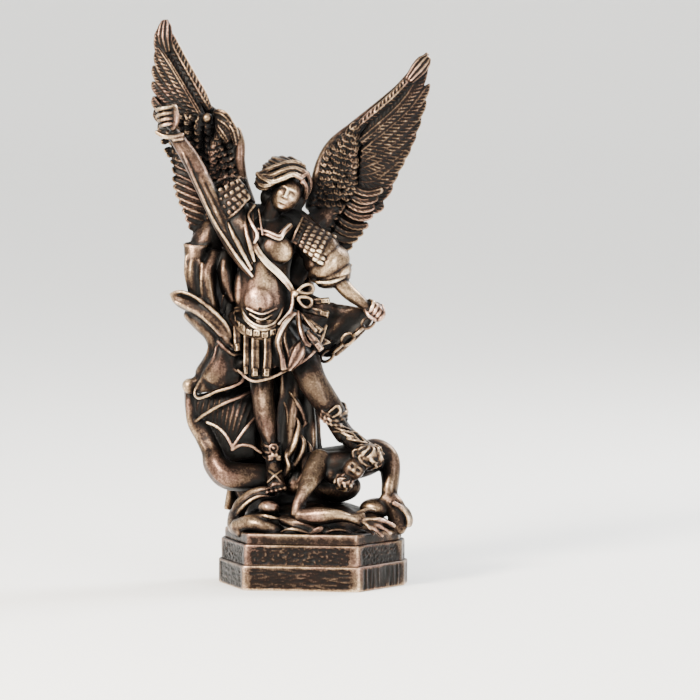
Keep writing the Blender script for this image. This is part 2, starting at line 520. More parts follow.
def carve_legs(clay):
    """The straight leg at the left and the bent leg whose boot treads on the demon's head."""
    clay.tube([(-51, 236, -2, 15, 16), (-51, 204, -8, 12.5, 14), (-50, 186, -13, 11, 12.5),
               (-47, 163, -7, 11, 12), (-42, 139, -4, 7.8, 9), (-40, 122, -6, 7.2, 9)], count=50, sides=36,
              relief=lambda s, a, w: 1.3 * bump(a - 4.7, 0.35) * bump(s - 0.44, 0.09)
              + 0.5 * bump(a - 4.5, 0.2) * (s > 0.5))
    clay.tube([(-40, 124, -4, 7.5, 10), (-38, 108, -16, 8, 8), (-36, 96, -28, 9, 6)], count=20)
    clay.tube([(-20, 240, -2, 18, 18), (-9, 221, -12, 16, 15), (-1, 202, -18, 14.5, 14),
               (9, 186, -16, 13.5, 14), (19, 172, -13, 12, 12.5), (24, 159, -12, 10, 10),
               (32, 147, -12, 10, 10)], count=50, sides=36,
              relief=lambda s, a, w: 1.4 * bump(a - 4.5, 0.4) * bump(s - 0.52, 0.1))
    clay.tube([(32, 148, -10, 9.5, 10), (44, 139, -22, 9, 8), (57, 132, -34, 7, 5)], count=20)
    for lift, deep, size in ((0, 0, 2.3), (4.4, -1, 2.0), (8.6, -1, 1.7)):
        ruff = [(7, 175 - lift, -20 + deep), (14, 168 - lift, -27 + deep), (25, 166 - lift, -25 + deep),
                (33, 171 - lift, -13), (28, 179 - lift, -2), (14, 181 - lift, 0), (7, 177 - lift, -8),
                (7, 175 - lift, -20)]
        clay.tube([q + (size,) for q in ruff], count=110, sides=14,
                  relief=lambda s, a, w: 0.55 * np.sin(TAU * (9 + lift) * s + a))
    clay.tube([(16, 170, -30, 1.3), (24, 176, -29, 1.7), (27, 170, -29, 1.7), (20, 165, -30, 1.3)], count=24,
              sides=12)
    for start, end in (((18, 160, -24), (36, 153, -22)), ((22, 155, -26), (40, 148, -27)),
                       ((28, 150, -29), (46, 142, -32)), ((20, 151, -22), (44, 150, -22)),
                       ((34, 144, -33), (54, 139, -36)), ((38, 150, -27), (52, 134, -38)),
                       ((46, 147, -26), (58, 133, -36))):
        middle = [(q + r) / 2 for q, r in zip(start, end)]
        middle[2] -= 4
        clay.tube([start + (1.4,), tuple(middle) + (1.6,), end + (1.3,)], count=16, sides=12)
    for up in (139, 133, 127):
        clay.tube([(-50, up, -8, 1.4), (-46, up - 3, -15, 1.5), (-38, up - 3, -16, 1.5), (-33, up, -9, 1.4)],
                  count=16, sides=10)
    ring = [(-39 + 4.2 * math.cos(t), 134 + 4.2 * math.sin(t), -17, 1.2) for t in np.linspace(0, TAU, 9)]
    clay.tube(ring, count=24, sides=8)
    clay.ball((-39, 134, -17), (1.8, 1.8, 2))
    for turn in (25, 70, 110, 155, 200, 340):
        t = math.radians(turn)
        clay.tube([(-38, 124, -17, 1.2), (-38 + 5 * math.cos(t), 124 + 4 * math.sin(t), -18, 2.0),
                   (-38 + 8 * math.cos(t), 124 + 6 * math.sin(t), -16, 0.8)], count=10, sides=8)
    for low, high in (((-45, 100, -30), (-31, 112, -24)), ((-31, 100, -30), (-44, 112, -22)),
                      ((-46, 94, -32), (-27, 96, -32))):
        clay.tube([low + (1.3,), ((low[0] + high[0]) / 2, (low[1] + high[1]) / 2 + 1, -31, 1.4),
                   high + (1.3,)], count=10, sides=8)
    for i in range(5):
        clay.ball((-45 + 4.3 * i, 90.5 + 1.1 * i, -35), (2.2, 2.3, 4.5))


def crest(phase):
    """Narrow ridges at whole numbers with wide hollows between them."""
    return np.exp(-((np.sin(math.pi * phase) / 0.5) ** 2)) - 0.35


def plume(clay, path, half, tilt=0.3, spacing=4.8, depth=1.3, thick=2.4, slant=1.0, quill=1.3, rim=0.0,
          point=0.3):
    """One feather along its quill, root first: a blade with a raised quill, slanting barbs or a raised rim.

    tilt turns one long edge forward, point is the share of the length over which the blade rounds off.
    """
    line = through(path, 15)
    s = np.linspace(0, 1, 15)
    tip = np.clip((s - 1 + point) / point, 0, 1)
    shape = np.minimum(1, 0.5 + 2.2 * s) * np.sqrt(np.clip(1 - tip ** 2, 0.02, 1))
    length = np.linalg.norm(np.diff(line, axis=0), axis=1).sum()
    rows = np.column_stack([line, half * shape, thick * (0.45 + 0.55 * shape)])

    def barbs(s, a, w):
        out = np.abs(np.cos(a))
        ridges = crest(s * length / spacing - slant * out * w / spacing)
        inner = np.clip(out * 4 - 0.5, 0, 1) * np.clip((1 - out) * 5, 0, 1)
        edge = bump(out - 0.86, 0.16) + bump(s - 0.97, 0.05)
        return (np.sin(a) < 0.1) * (quill * bump(np.cos(a), 0.16) + depth * ridges * inner + rim * edge)

    clay.tube(rows, count=max(20, int(length * 1.6)), sides=34, cap=0.3, relief=barbs, lean=tilt)


def scales(clay, lead, inner, rows, number, reach, half, deep, tilt, turn=0.0):
    """Rows of small overlapping, uneven feathers between a wing's leading edge and its long feathers."""
    lead, inner = through(lead, 60), through(inner, 60)
    for row in range(rows):
        share = row / max(rows - 1, 1)
        for k in range(number):
            stray = math.sin(12.9 * k + 7.1 * row + number)
            t = min((k + 0.5 * (row % 2) + 0.22 * stray) / number, 1.0)
            near, far = lead[int(abs(t) * 59)], inner[int(abs(t) * 59)]
            start = near * (1 - share) + far * share
            way = unit(far - near)
            bend = turn + 0.38 * stray
            way = np.array((way[0] * math.cos(bend) + way[1] * math.sin(bend),
                            way[1] * math.cos(bend) - way[0] * math.sin(bend)))
            across = np.array((-way[1], way[0])) * 1.6 * math.sin(5.3 * k + 2.7 * row)
            middle, end = start + way * reach * 0.5 + across, start + way * reach * (1 + 0.18 * stray)
            back = deep(start)
            plume(clay, [(*start, back + 1.5), (*middle, back - 1.2), (*end, back - 3.4 - 0.8 * stray)], half,
                  tilt=tilt, spacing=2.8, depth=0.7, thick=1.7, quill=0.8, rim=0.9, point=0.45)


def web(clay, lead, bones, tips, depth, reach):
    """The wing's own body: a rounded leading edge and a thin web behind the feathers."""
    lead, bones, tips = (through(np.array(p, float), 9) for p in (lead, bones, tips))
    deep = np.linspace(depth[0], depth[1], 9)
    half = np.interp(np.linspace(0, 1, 9), (0, 0.4, 0.62, 1), (6.5, 6.0, 4.6, 2.4))
    edge = lead + unit(tips - lead) * half[:, None]
    edge, root, far = (np.column_stack([line, deep + back])
                       for line, back in ((edge, 0), (bones, 1), (tips, 3)))

    def vanes(u, v):
        rank = 11 * u + 0.6 * v
        lap = rank - np.floor(rank)
        return np.clip(4 * v - 0.4, 0, 1) * (1.7 * (lap - 0.5) * np.clip((1 - lap) * 7, 0, 1)
                                             + 0.5 * np.sin(TAU * (17 * v + 1.5 * lap)))

    clay.sheet([edge, root, far * reach + root * (1 - reach)], thick=5.0, across=220, down=140, ripple=vanes)
    clay.tube([tuple(p) + (h, h * 0.95) for p, h in zip(edge, half)], count=60, sides=20)


LEFT_LEAD = [(-60, 384), (-66, 402), (-70, 420), (-71, 440), (-77, 454), (-88, 466), (-102, 477), (-114, 492),
             (-128, 516), (-138, 539), (-145, 562)]
LEFT_BONES = [(-84, 346), (-90, 366), (-97, 386), (-103, 404), (-107, 420), (-108, 436), (-106, 446),
              (-105, 454), (-105, 461), (-106, 467)]
LEFT_TIPS = [(-106, 320), (-124, 342), (-134, 372), (-141, 398), (-143, 420), (-153, 438), (-160, 468),
             (-163, 494), (-161, 530), (-151, 563)]
RIGHT_LEAD = [(-6, 380), (-3, 396), (1, 412), (7, 430), (15, 442), (29, 454), (45, 466), (63, 481), (79, 494),
              (92, 508), (103, 520), (112, 528)]
RIGHT_BONES = [(14, 350), (24, 364), (33, 378), (40, 390), (45, 402), (47, 414), (48, 426), (47, 438),
               (46, 446), (46, 452)]
RIGHT_TIPS = [(32, 331), (45, 346), (59, 364), (65, 382), (71, 398), (88, 420), (99, 444), (109, 470),
              (119, 502), (117, 530)]


def carve_left_wing(clay):
    """The higher wing: its fan of long feathers, the shorter ones below, the coverts and the wrist's tuft."""
    web(clay, LEFT_LEAD, LEFT_BONES, LEFT_TIPS, (26, 46), 0.82)
    fan = (
        [(-116, 446, 33), (-134, 450, 34), (-146, 452, 36), (-156, 458, 38)],
        [(-116, 449, 33), (-136, 458, 35), (-150, 464, 37), (-160, 472, 40)],
        [(-115, 452, 33), (-136, 466, 35), (-152, 476, 38), (-161, 486, 41)],
        [(-114, 455, 33), (-134, 474, 35), (-150, 489, 39), (-162, 501, 43)],
        [(-113, 458, 33), (-133, 481, 35), (-150, 501, 40), (-161, 517, 44)],
        [(-112, 462, 32), (-130, 485, 35), (-147, 509, 40), (-159, 531, 44)],
    )
    for path in fan:
        plume(clay, path, 7.4, tilt=-0.35, spacing=5.0, slant=1.1)
    plume(clay, [(-110, 463, 30), (-126, 488, 33), (-141, 513, 38), (-152, 534, 43), (-155, 556, 45)], 8.0,
          tilt=-0.2, spacing=5.0, slant=1.2, quill=0.4)
    plume(clay, [(-103, 472, 29), (-113, 489, 32), (-127, 513, 37), (-139, 535, 42), (-146, 553, 44)], 6.0,
          tilt=0.2, spacing=5.0, slant=1.1)
    for side in (-1.5, 1.3):
        clay.tube([(-112 + side, 466, 28, 0.9), (-126 + side, 490, 30.5, 0.9), (-141 + side, 515, 35, 0.9),
                   (-154 + side, 535, 40.5, 0.7)], count=60, sides=8)
    clay.tube([(-146, 532, 42, 5, 4), (-149, 545, 43, 7.5, 5.5), (-149, 556, 44, 6.5, 5),
               (-149, 561, 45, 4, 4)], count=40, sides=40, relief=strands(9, 0.9, 2))
    for k in range(13):
        t = k / 12
        tip = through([(-143, 432), (-140, 420), (-141, 404), (-138, 388), (-131, 372), (-125, 356),
                       (-116, 340)], 13)[k]
        root = through([(-112, 424), (-108, 404), (-104, 388), (-98, 374), (-92, 360), (-84, 346),
                        (-74, 336)], 13)[k]
        middle = (tip + root) / 2 + (0, 2.0 - 5.0 * t)
        plume(clay, [(*root, 27), (*middle, 24), (*tip, 23 + 7 * (1 - t))], 4.8, tilt=-0.55, spacing=5.2,
              slant=2.4, depth=0.9, rim=0.9)
    for base, middle, tip in (((-110, 346), (-98, 333), (-80, 322)), ((-102, 338), (-88, 325), (-70, 318)),
                              ((-98, 348), (-84, 336), (-66, 326))):
        plume(clay, [(*base, 20), (*middle, 16), (*tip, 14)], 6.5, tilt=-0.3, spacing=4.2, slant=2.0, rim=1.2)
    for k in range(7):
        clay.ball((-106 + 0.6 * k, 367 - 4.2 * k, 20), (2.0, 2.1, 2.4), count=10, sides=14)
    scales(clay, np.array(LEFT_LEAD[:6], float) + (-5, -2), np.array(LEFT_BONES[:6], float) + (5, 0), 8, 13,
           7.4, 2.9, lambda place: 25, -0.3, turn=-0.5)
    scales(clay, np.array(LEFT_BONES[3:9], float) + (4, 0),
           np.array(LEFT_TIPS[3:7] + [(-140, 470)], float) + (9, 0), 6, 10, 7.6, 2.9, lambda place: 29, -0.3,
           turn=-0.3)
    clay.tube([(-60, 348, 12, 14, 12), (-80, 366, 24, 12, 9), (-88, 388, 27, 8, 6)], count=16)
    clay.ball((-106, 464, 25), (5.4, 5.4, 6))
    wrist = (
        [(-99, 470, 25), (-90, 467, 19), (-81, 458, 17)], [(-97, 464, 24), (-88, 458, 18), (-79, 448, 17)],
        [(-96, 458, 24), (-90, 450, 19), (-84, 440, 18)], [(-90, 466, 23), (-80, 452, 16), (-76, 436, 16)],
    )
    for path in wrist:
        plume(clay, path, 4.2, tilt=-0.2, spacing=3.6, depth=0.7, rim=0.9, point=0.5)
    clay.tube([(-76, 452, 20, 4, 4), (-73, 438, 18, 5, 5), (-73, 420, 18, 5, 5), (-70, 404, 20, 4, 5)],
              count=24)


def carve_right_wing(clay):
    """The wing behind the lowered arm, whose fan starts beside the shoulder."""
    web(clay, RIGHT_LEAD, RIGHT_BONES, RIGHT_TIPS, (26, 46), 0.84)
    fan = (
        [(39, 384, 28), (52, 376, 26), (62, 375, 27), (70, 380, 30)],
        [(41, 388, 29), (55, 382, 28), (68, 388, 30), (79, 400, 32)],
        [(43, 394, 29), (58, 392, 29), (72, 400, 31), (85, 413, 33)],
        [(44, 400, 29), (60, 400, 30), (77, 412, 32), (92, 425, 35)],
        [(45, 406, 30), (62, 409, 31), (82, 422, 34), (98, 438, 37)],
        [(46, 412, 30), (66, 420, 32), (88, 434, 36), (103, 452, 39)],
        [(46, 418, 31), (70, 431, 33), (92, 447, 37), (108, 466, 41)],
        [(47, 424, 31), (72, 441, 34), (96, 461, 38), (113, 482, 42)],
        [(48, 430, 31), (72, 450, 34), (97, 473, 39), (117, 499, 44)],
    )
    for path in fan:
        plume(clay, path, 7.4, tilt=0.35, spacing=4.8, slant=1.1)
    plume(clay, [(47, 440, 30), (66, 458, 33), (88, 478, 38), (104, 500, 43), (113, 524, 46)], 8.0, tilt=0.2,
          spacing=4.8, slant=1.2, quill=0.4)
    plume(clay, [(38, 450, 29), (58, 467, 32), (78, 484, 36), (95, 502, 41), (108, 520, 45)], 5.0, tilt=-0.2,
          spacing=4.8, slant=1.1)
    for side in (-1.5, 1.3):
        clay.tube([(47 - side, 441 + side, 28, 0.9), (68 - side, 459 + side, 31, 0.9),
                   (89 - side, 479 + side, 36, 0.9), (104 - side, 500 + side, 41, 0.9),
                   (111 - side, 515 + side, 43, 0.7)], count=60, sides=8)
    for k in range(10):
        tip = through([(70, 392), (63, 380), (60, 366), (53, 352), (45, 343), (37, 332), (30, 326)], 10)[k]
        root = through([(36, 396), (34, 384), (28, 374), (20, 362), (14, 352), (8, 342), (4, 334)], 10)[k]
        middle = (tip + root) / 2 + (0, -5.0)
        plume(clay, [(*root, 27), (*middle, 23), (*tip, 23)], 4.8, tilt=0.55, spacing=4.6, slant=2.4,
              depth=0.9, rim=0.9)
    scales(clay, np.array(RIGHT_LEAD[:7], float) + (5, -3), np.array(RIGHT_BONES[:8], float) + (-6, 0), 9, 15,
           7.6, 3.0, lambda place: 25 + 0.06 * (place[1] - 400), 0.3, turn=0.35)
    clay.tube([(97, 503, 40, 5, 4), (105, 513, 42, 7.5, 5.5), (111, 521, 43, 7, 5), (114, 525, 44, 4.5, 4)],
              count=40, sides=40, relief=strands(9, 0.9, 2))
    clay.tube([(-22, 348, 12, 14, 12), (4, 358, 22, 13, 10), (22, 376, 28, 9, 7)], count=16)


def carve_cloak(clay):
    """The cloak: pouch and billows at the left, a wind-blown end at the right and the long fall at the back."""
    clay.tube([(-100, 352, 22, 14, 14), (-106, 335, 20, 18, 14), (-105, 310, 14, 19, 16),
               (-100, 285, 14, 19, 16), (-93, 262, 14, 15, 16), (-86, 245, 12, 12, 15)], count=40, sides=60)
    masses = (
        [(-120, 327, 4, 6.5, 9), (-120, 308, 0, 6.5, 9), (-117, 290, 1, 6, 9), (-112, 276, 4, 5, 8)],
        [(-97, 326, 4, 8, 9), (-104, 312, -2, 7, 10), (-104, 294, -5, 6.5, 11), (-101, 278, -5, 6, 10),
         (-95, 262, -2, 5, 8)],
        [(-87, 326, 4, 8, 9), (-87, 310, -2, 8, 10), (-85, 294, -1, 6, 9), (-80, 282, 2, 5, 8)],
        [(-84, 285, 8, 8, 9), (-82, 262, 6, 8, 9), (-80, 248, 4, 6, 8)],
        [(-137, 285, 2, 6, 7), (-129, 280, 0, 8, 8), (-114, 273, -5, 7.5, 8), (-100, 262, -9, 7, 8),
         (-89, 249, -11, 6, 7), (-84, 238, -11, 5, 6)],
        [(-124, 268, 10, 6.5, 9), (-112, 258, 6, 8.5, 12), (-101, 247, 4, 8.5, 13), (-96, 234, 4, 9, 14),
         (-98, 220, 4, 12, 13), (-106, 206, 4, 13, 12)],
        [(-86, 240, -2, 10, 11), (-88, 226, -5, 12.5, 12), (-92, 213, -7, 14, 12), (-98, 202, -6, 15, 11)],
        [(-72, 232, -2, 7, 10), (-76, 214, -6, 8, 10), (-84, 200, -6, 9, 8)],
    )
    for mass in masses:
        clay.tube(mass, count=50, sides=40, relief=winding(3, 0.5, 6))
    edges = (
        ([(-126, 326, -2), (-127, 310, -4), (-124, 294, -2), (-120, 280, 0)], 2.2),
        ([(-113, 322, -6), (-114, 304, -7), (-111, 286, -6)], 1.8),
        ([(-110, 318, -8), (-111, 300, -12), (-109, 284, -12), (-103, 268, -9)], 2.4),
        ([(-89, 287, -8), (-91, 277, -6), (-89, 268, -4)], 1.5),
        ([(-142, 287, 0), (-134, 290, -6), (-122, 287, -11), (-108, 278, -15), (-95, 267, -17),
          (-85, 255, -17), (-81, 244, -15)], 2.3),
        ([(-138, 280, -6), (-128, 275, -9), (-114, 267, -13), (-101, 256, -17), (-92, 246, -17)], 1.6),
        ([(-95, 241, -15), (-87, 233, -17), (-78, 227, -19), (-71, 229, -18), (-67, 223, -16),
          (-73, 217, -14), (-79, 213, -15), (-70, 208, -19), (-70, 201, -20), (-81, 195, -20),
          (-95, 191, -18), (-106, 186, -15), (-114, 184, -11), (-118, 189, -7), (-115, 196, -7),
          (-109, 206, -9), (-104, 217, -9)], 2.0),
        ([(-96, 236, -14), (-99, 224, -15), (-106, 212, -12)], 1.6),
        ([(-82, 238, -16), (-76, 233, -17), (-70, 236, -15), (-70, 243, -13), (-75, 248, -13)], 1.7),
    )
    clay.sheet([
        [(-102, 242, 0), (-88, 238, -6), (-74, 236, -12)],
        [(-108, 220, 0), (-92, 218, -7), (-73, 218, -13)],
        [(-115, 203, 0), (-98, 202, -7), (-72, 208, -13)],
        [(-117, 188, -3), (-98, 191, -9), (-74, 200, -13)],
    ], thick=10, across=50, down=40, ripple=folds(2.4, 1.8, phase=0.2, bend=0.2))
    for path, size in edges:
        clay.tube([p + (size,) for p in path], count=90, sides=14)
    clay.tube([(-114, 300, 4, 8, 9), (-116, 318, 4, 11, 11), (-117, 330, 5, 12, 10), (-116, 337, 6, 12.5, 9)],
              count=40, sides=40, cap=-0.9)
    clay.tube([(-116 + 12.5 * math.cos(t), 337 + 2.6 * math.sin(t), 6 + 9 * math.sin(t), 1.7)
               for t in np.linspace(0, TAU, 13)], count=60, sides=12)
    clay.ball((-123, 196, 4), (8, 8, 8))
    clay.ball((-112, 200, 4), (10, 8, 9))
    clay.sheet([
        [(-16, 294, 6), (-3, 286, 8), (14, 279, 10), (30, 275, 10), (46, 275, 8), (61, 270, 4)],
        [(-16, 275, 8), (0, 269, 10), (16, 266, 12), (30, 265, 11), (44, 264, 8), (58, 258, 5)],
        [(-16, 254, 8), (-4, 250, 10), (8, 247, 12), (20, 245, 11), (32, 244, 8), (44, 242, 6)],
        [(-18, 234, 8), (-8, 229, 10), (0, 227, 10), (8, 225, 9), (16, 224, 8), (24, 225, 6)],
    ], thick=8, across=60, down=40, ripple=folds(2.3, 1.7, phase=0.55, bend=0.3))
    clay.sheet([
        [(-72, 366, 18), (-45, 372, 16), (-14, 356, 18), (10, 340, 18)],
        [(-86, 320, 26), (-48, 325, 30), (-16, 320, 30), (0, 305, 22)],
        [(-90, 262, 24), (-50, 270, 36), (-18, 268, 34), (-4, 262, 20)],
        [(-84, 204, 22), (-50, 210, 40), (-14, 210, 38), (2, 204, 20)],
        [(-82, 150, 26), (-48, 150, 44), (-16, 150, 40), (4, 150, 22)],
        [(-86, 104, 32), (-48, 104, 52), (-10, 104, 48), (12, 104, 28)],
        [(-90, 72, 34), (-48, 62, 60), (-6, 64, 56), (18, 78, 30)],
    ], thick=15, across=140, down=120, ripple=lambda u, v: folds(3.3, 3.0, bend=-0.3, sharp=0.75)(u, v)
        + (0.4 + 0.9 * v) * np.sin(TAU * (7.3 * u + 0.6 * v + 0.25 * np.sin(5 * v))))
    clay.sheet([
        [(-48, 236, 8), (-30, 236, 6), (-10, 232, 8)],
        [(-34, 200, 6), (-22, 200, 4), (-4, 196, 8)],
        [(-34, 165, 6), (-22, 165, 2), (2, 160, 8)],
        [(-36, 120, 4), (-20, 120, 0), (4, 118, 8)],
        [(-36, 88, 4), (-18, 88, 0), (6, 88, 8)],
    ], thick=22, across=50, down=60, ripple=folds(2.6, 2.4, phase=0.4, bend=0.35))


def shock(crown, locks, depth):
    """Relief of wild hair on an ellipsoid: wavy locks that run down from the crown and lift in steps."""
    crown = unit(np.array(crown, float))
    across = unit(np.cross(crown, (0.2, 0.1, 1.0)))
    third = np.cross(crown, across)

    def wild(x, z, y):
        way = unit(np.stack([x, z, y], -1))
        drop = np.arccos(np.clip(way @ crown, -1, 1))
        turn = np.arctan2(way @ third, way @ across)
        lock = np.sin(locks * turn + 2.0 * np.sin(4 * drop) + 1.0)
        step = np.sin(9 * drop + 2.5 * lock + 1.5 * np.sin(3 * turn))
        fine = np.sin(2.6 * locks * turn + 3.0 * np.sin(5 * drop + 2 * turn))
        rise = depth * np.clip(1.6 * drop, 0, 1)
        return rise * (1.1 * np.abs(lock) ** 0.7 * np.sign(lock) + 0.7 * step + 0.3 * fine)

    return wild


def carve_demon(clay):
    """The fallen demon: body and head, the two propping arms, a ribbed bat wing and a thick tail."""
    muscle = winding(2, 0.9, 7)
    clay.tube([(-66, 96, 40, 20, 24), (-28, 104, 30, 21, 25), (4, 114, 10, 20, 24), (28, 120, -4, 17, 20),
               (52, 124, -10, 17, 16)], count=50, sides=50, relief=winding(5, 0.9, 8))
    clay.tube([(-2, 117, -12, 14, 15), (20, 116, -20, 15, 15), (44, 118, -20, 15, 14),
               (62, 124, -14, 13, 13)], count=40, sides=40, relief=muscle)
    clay.ball((24, 96, -8), (24, 16, 14))
    clay.ball((20, 108, -27), (11, 9, 9), lean=20)
    clay.ball((64, 75, -20), (18, 10, 14))
    clay.ball((52, 124, -34), (13.5, 11, 14), lean=30)

    def grim(x, z, y):
        side = np.abs(x)
        form = -1.8 * bump(side - 3.8, 1.8) * bump(z - 1.5, 1.4)
        form += 1.4 * bump(side - 3.6, 2.6) * bump(z - 3.8, 1.0)
        form += 2.6 * bump(x, 1.4) * bump(z + 1.0, 2.4) + 1.2 * bump(side - 1.7, 1.0) * bump(z + 2.6, 0.9)
        form += 1.2 * bump(side - 5.4, 2.0) * bump(z + 1.4, 2.0) - 1.0 * bump(x, 2.8) * bump(z + 5.4, 0.7)
        return form * np.clip(-y / 8.0, 0, 1)

    clay.ball((41, 114, -41), (10.5, 13, 11), lean=38, count=60, sides=70, relief=grim)
    clay.ball((30, 102, -40), (8.5, 8, 8))
    clay.ball((54, 126, -36), (16, 13, 16), count=110, sides=150, relief=shock((0.1, 0.8, -0.4), 8, 1.15))
    clay.ball((31, 101, -41), (9.5, 9, 9.5), count=80, sides=100, relief=shock((0.5, 0.7, -0.5), 7, 0.95))
    clay.tube([(8, 122, -22, 13, 13), (0, 108, -36, 10, 10), (-7, 95, -46, 8, 8), (-13, 80, -54, 7, 7),
               (-14, 69, -58, 8, 8)], count=50, sides=40, relief=muscle)
    clay.tube([(-12, 68, -59, 8, 9), (6, 68, -66, 8.2, 9), (24, 68, -69, 6.8, 8), (38, 66, -68, 5.4, 6),
               (49, 64, -67, 7.5, 4.6)], count=50, sides=36, relief=muscle)
    for tip_across, tip_up, bend in ((60, 50, 57), (69, 48.5, 56), (77, 51, 59), (81, 58, 64)):
        middle = ((50 + tip_across) / 2 + 1, bend, -72)
        clay.tube([(48, 64, -69, 2.5), (*middle, 2.5), (tip_across, tip_up, -67, 1.8)], count=24, sides=16,
                  relief=lambda s, a, w: 0.35 * np.sin(TAU * 2.5 * s))
    clay.tube([(44, 70, -66, 2.6), (54, 74, -64, 2.3), (62, 73, -60, 1.8)], count=20)
    clay.tube([(50, 128, -14, 14, 13), (64, 130, -12, 13, 12), (75, 122, -14, 11, 10),
               (77, 104, -18, 10, 9.5), (76, 90, -22, 8.6, 9), (78, 80, -26, 8.4, 8)], count=60, sides=40,
              relief=muscle)
    clay.tube([(72, 84, -24, 11, 8), (81, 77, -28, 10, 8), (85, 64, -26, 11, 7), (82, 54, -24, 10, 7)],
              count=16)
    for i in range(4):
        clay.tube([(80 + 2.6 * i, 80 - i, -38 + 5 * i, 2.6), (88 + 2.0 * i, 75 - i, -38 + 5 * i, 2.6),
                   (94 + 1.2 * i, 66 - i, -36 + 5 * i, 2.4), (94 + 0.8 * i, 57, -33 + 5 * i, 2.0)], count=20,
                  sides=14)
    clay.tube([(-123, 192, 24, 6, 7), (-121, 174, 22, 8, 8), (-117, 160, 20, 9.5, 9), (-108, 146, 16, 10, 9),
               (-101, 131, 10, 10, 9), (-96, 117, 2, 12.5, 12), (-82, 106, -2, 14.5, 13),
               (-54, 105, -2, 13, 13), (-36, 106, 6, 11, 12)], count=90, sides=50,
              relief=lambda s, a, w: 0.8 * np.sin(3 * a + 9 * s) + 1.0 * bump(a - 4.0, 0.25))

    def ridged(u, v):
        fan = u * 0.75 + v * 0.35
        inside = np.clip(u * 8, 0, 1) * np.clip((0.97 - u) * 10, 0, 1)
        inside = inside * np.clip(v * 8, 0, 1) * np.clip((0.8 - v) * 8, 0, 1)
        return 1.1 * crest(13 * fan + 2.0 * v) * inside

    clay.sheet([
        [(-124, 186, 20), (-104, 190, 14), (-84, 192, 10), (-62, 196, 10)],
        [(-118, 166, 18), (-98, 176, 8), (-82, 182, 4), (-60, 184, 6)],
        [(-104, 158, 16), (-92, 164, 6), (-76, 170, 2), (-58, 172, 5)],
        [(-96, 136, 14), (-87, 142, 6), (-74, 148, 2), (-56, 152, 5)],
        [(-92, 118, 14), (-82, 120, 10), (-72, 122, 8), (-58, 124, 8)],
    ], thick=6, across=90, down=90, ripple=ridged)
    ribs = (
        ([(-117, 161, 12), (-107, 168, 4), (-92, 177, -2), (-76, 184, -5), (-61, 190, -3)], 2.1),
        ([(-106, 160, 3), (-95, 155, -3), (-86, 146, -7), (-80, 135, -9)], 1.8),
        ([(-56, 166, -5), (-66, 155, -9), (-76, 141, -10), (-80, 134, -9)], 1.8),
        ([(-81, 132, -8), (-72, 137, -12), (-61, 136, -14), (-51, 129, -13)], 1.8),
    )
    for rib, size in ribs:
        clay.tube([q + (size,) for q in rib], count=40, sides=14)


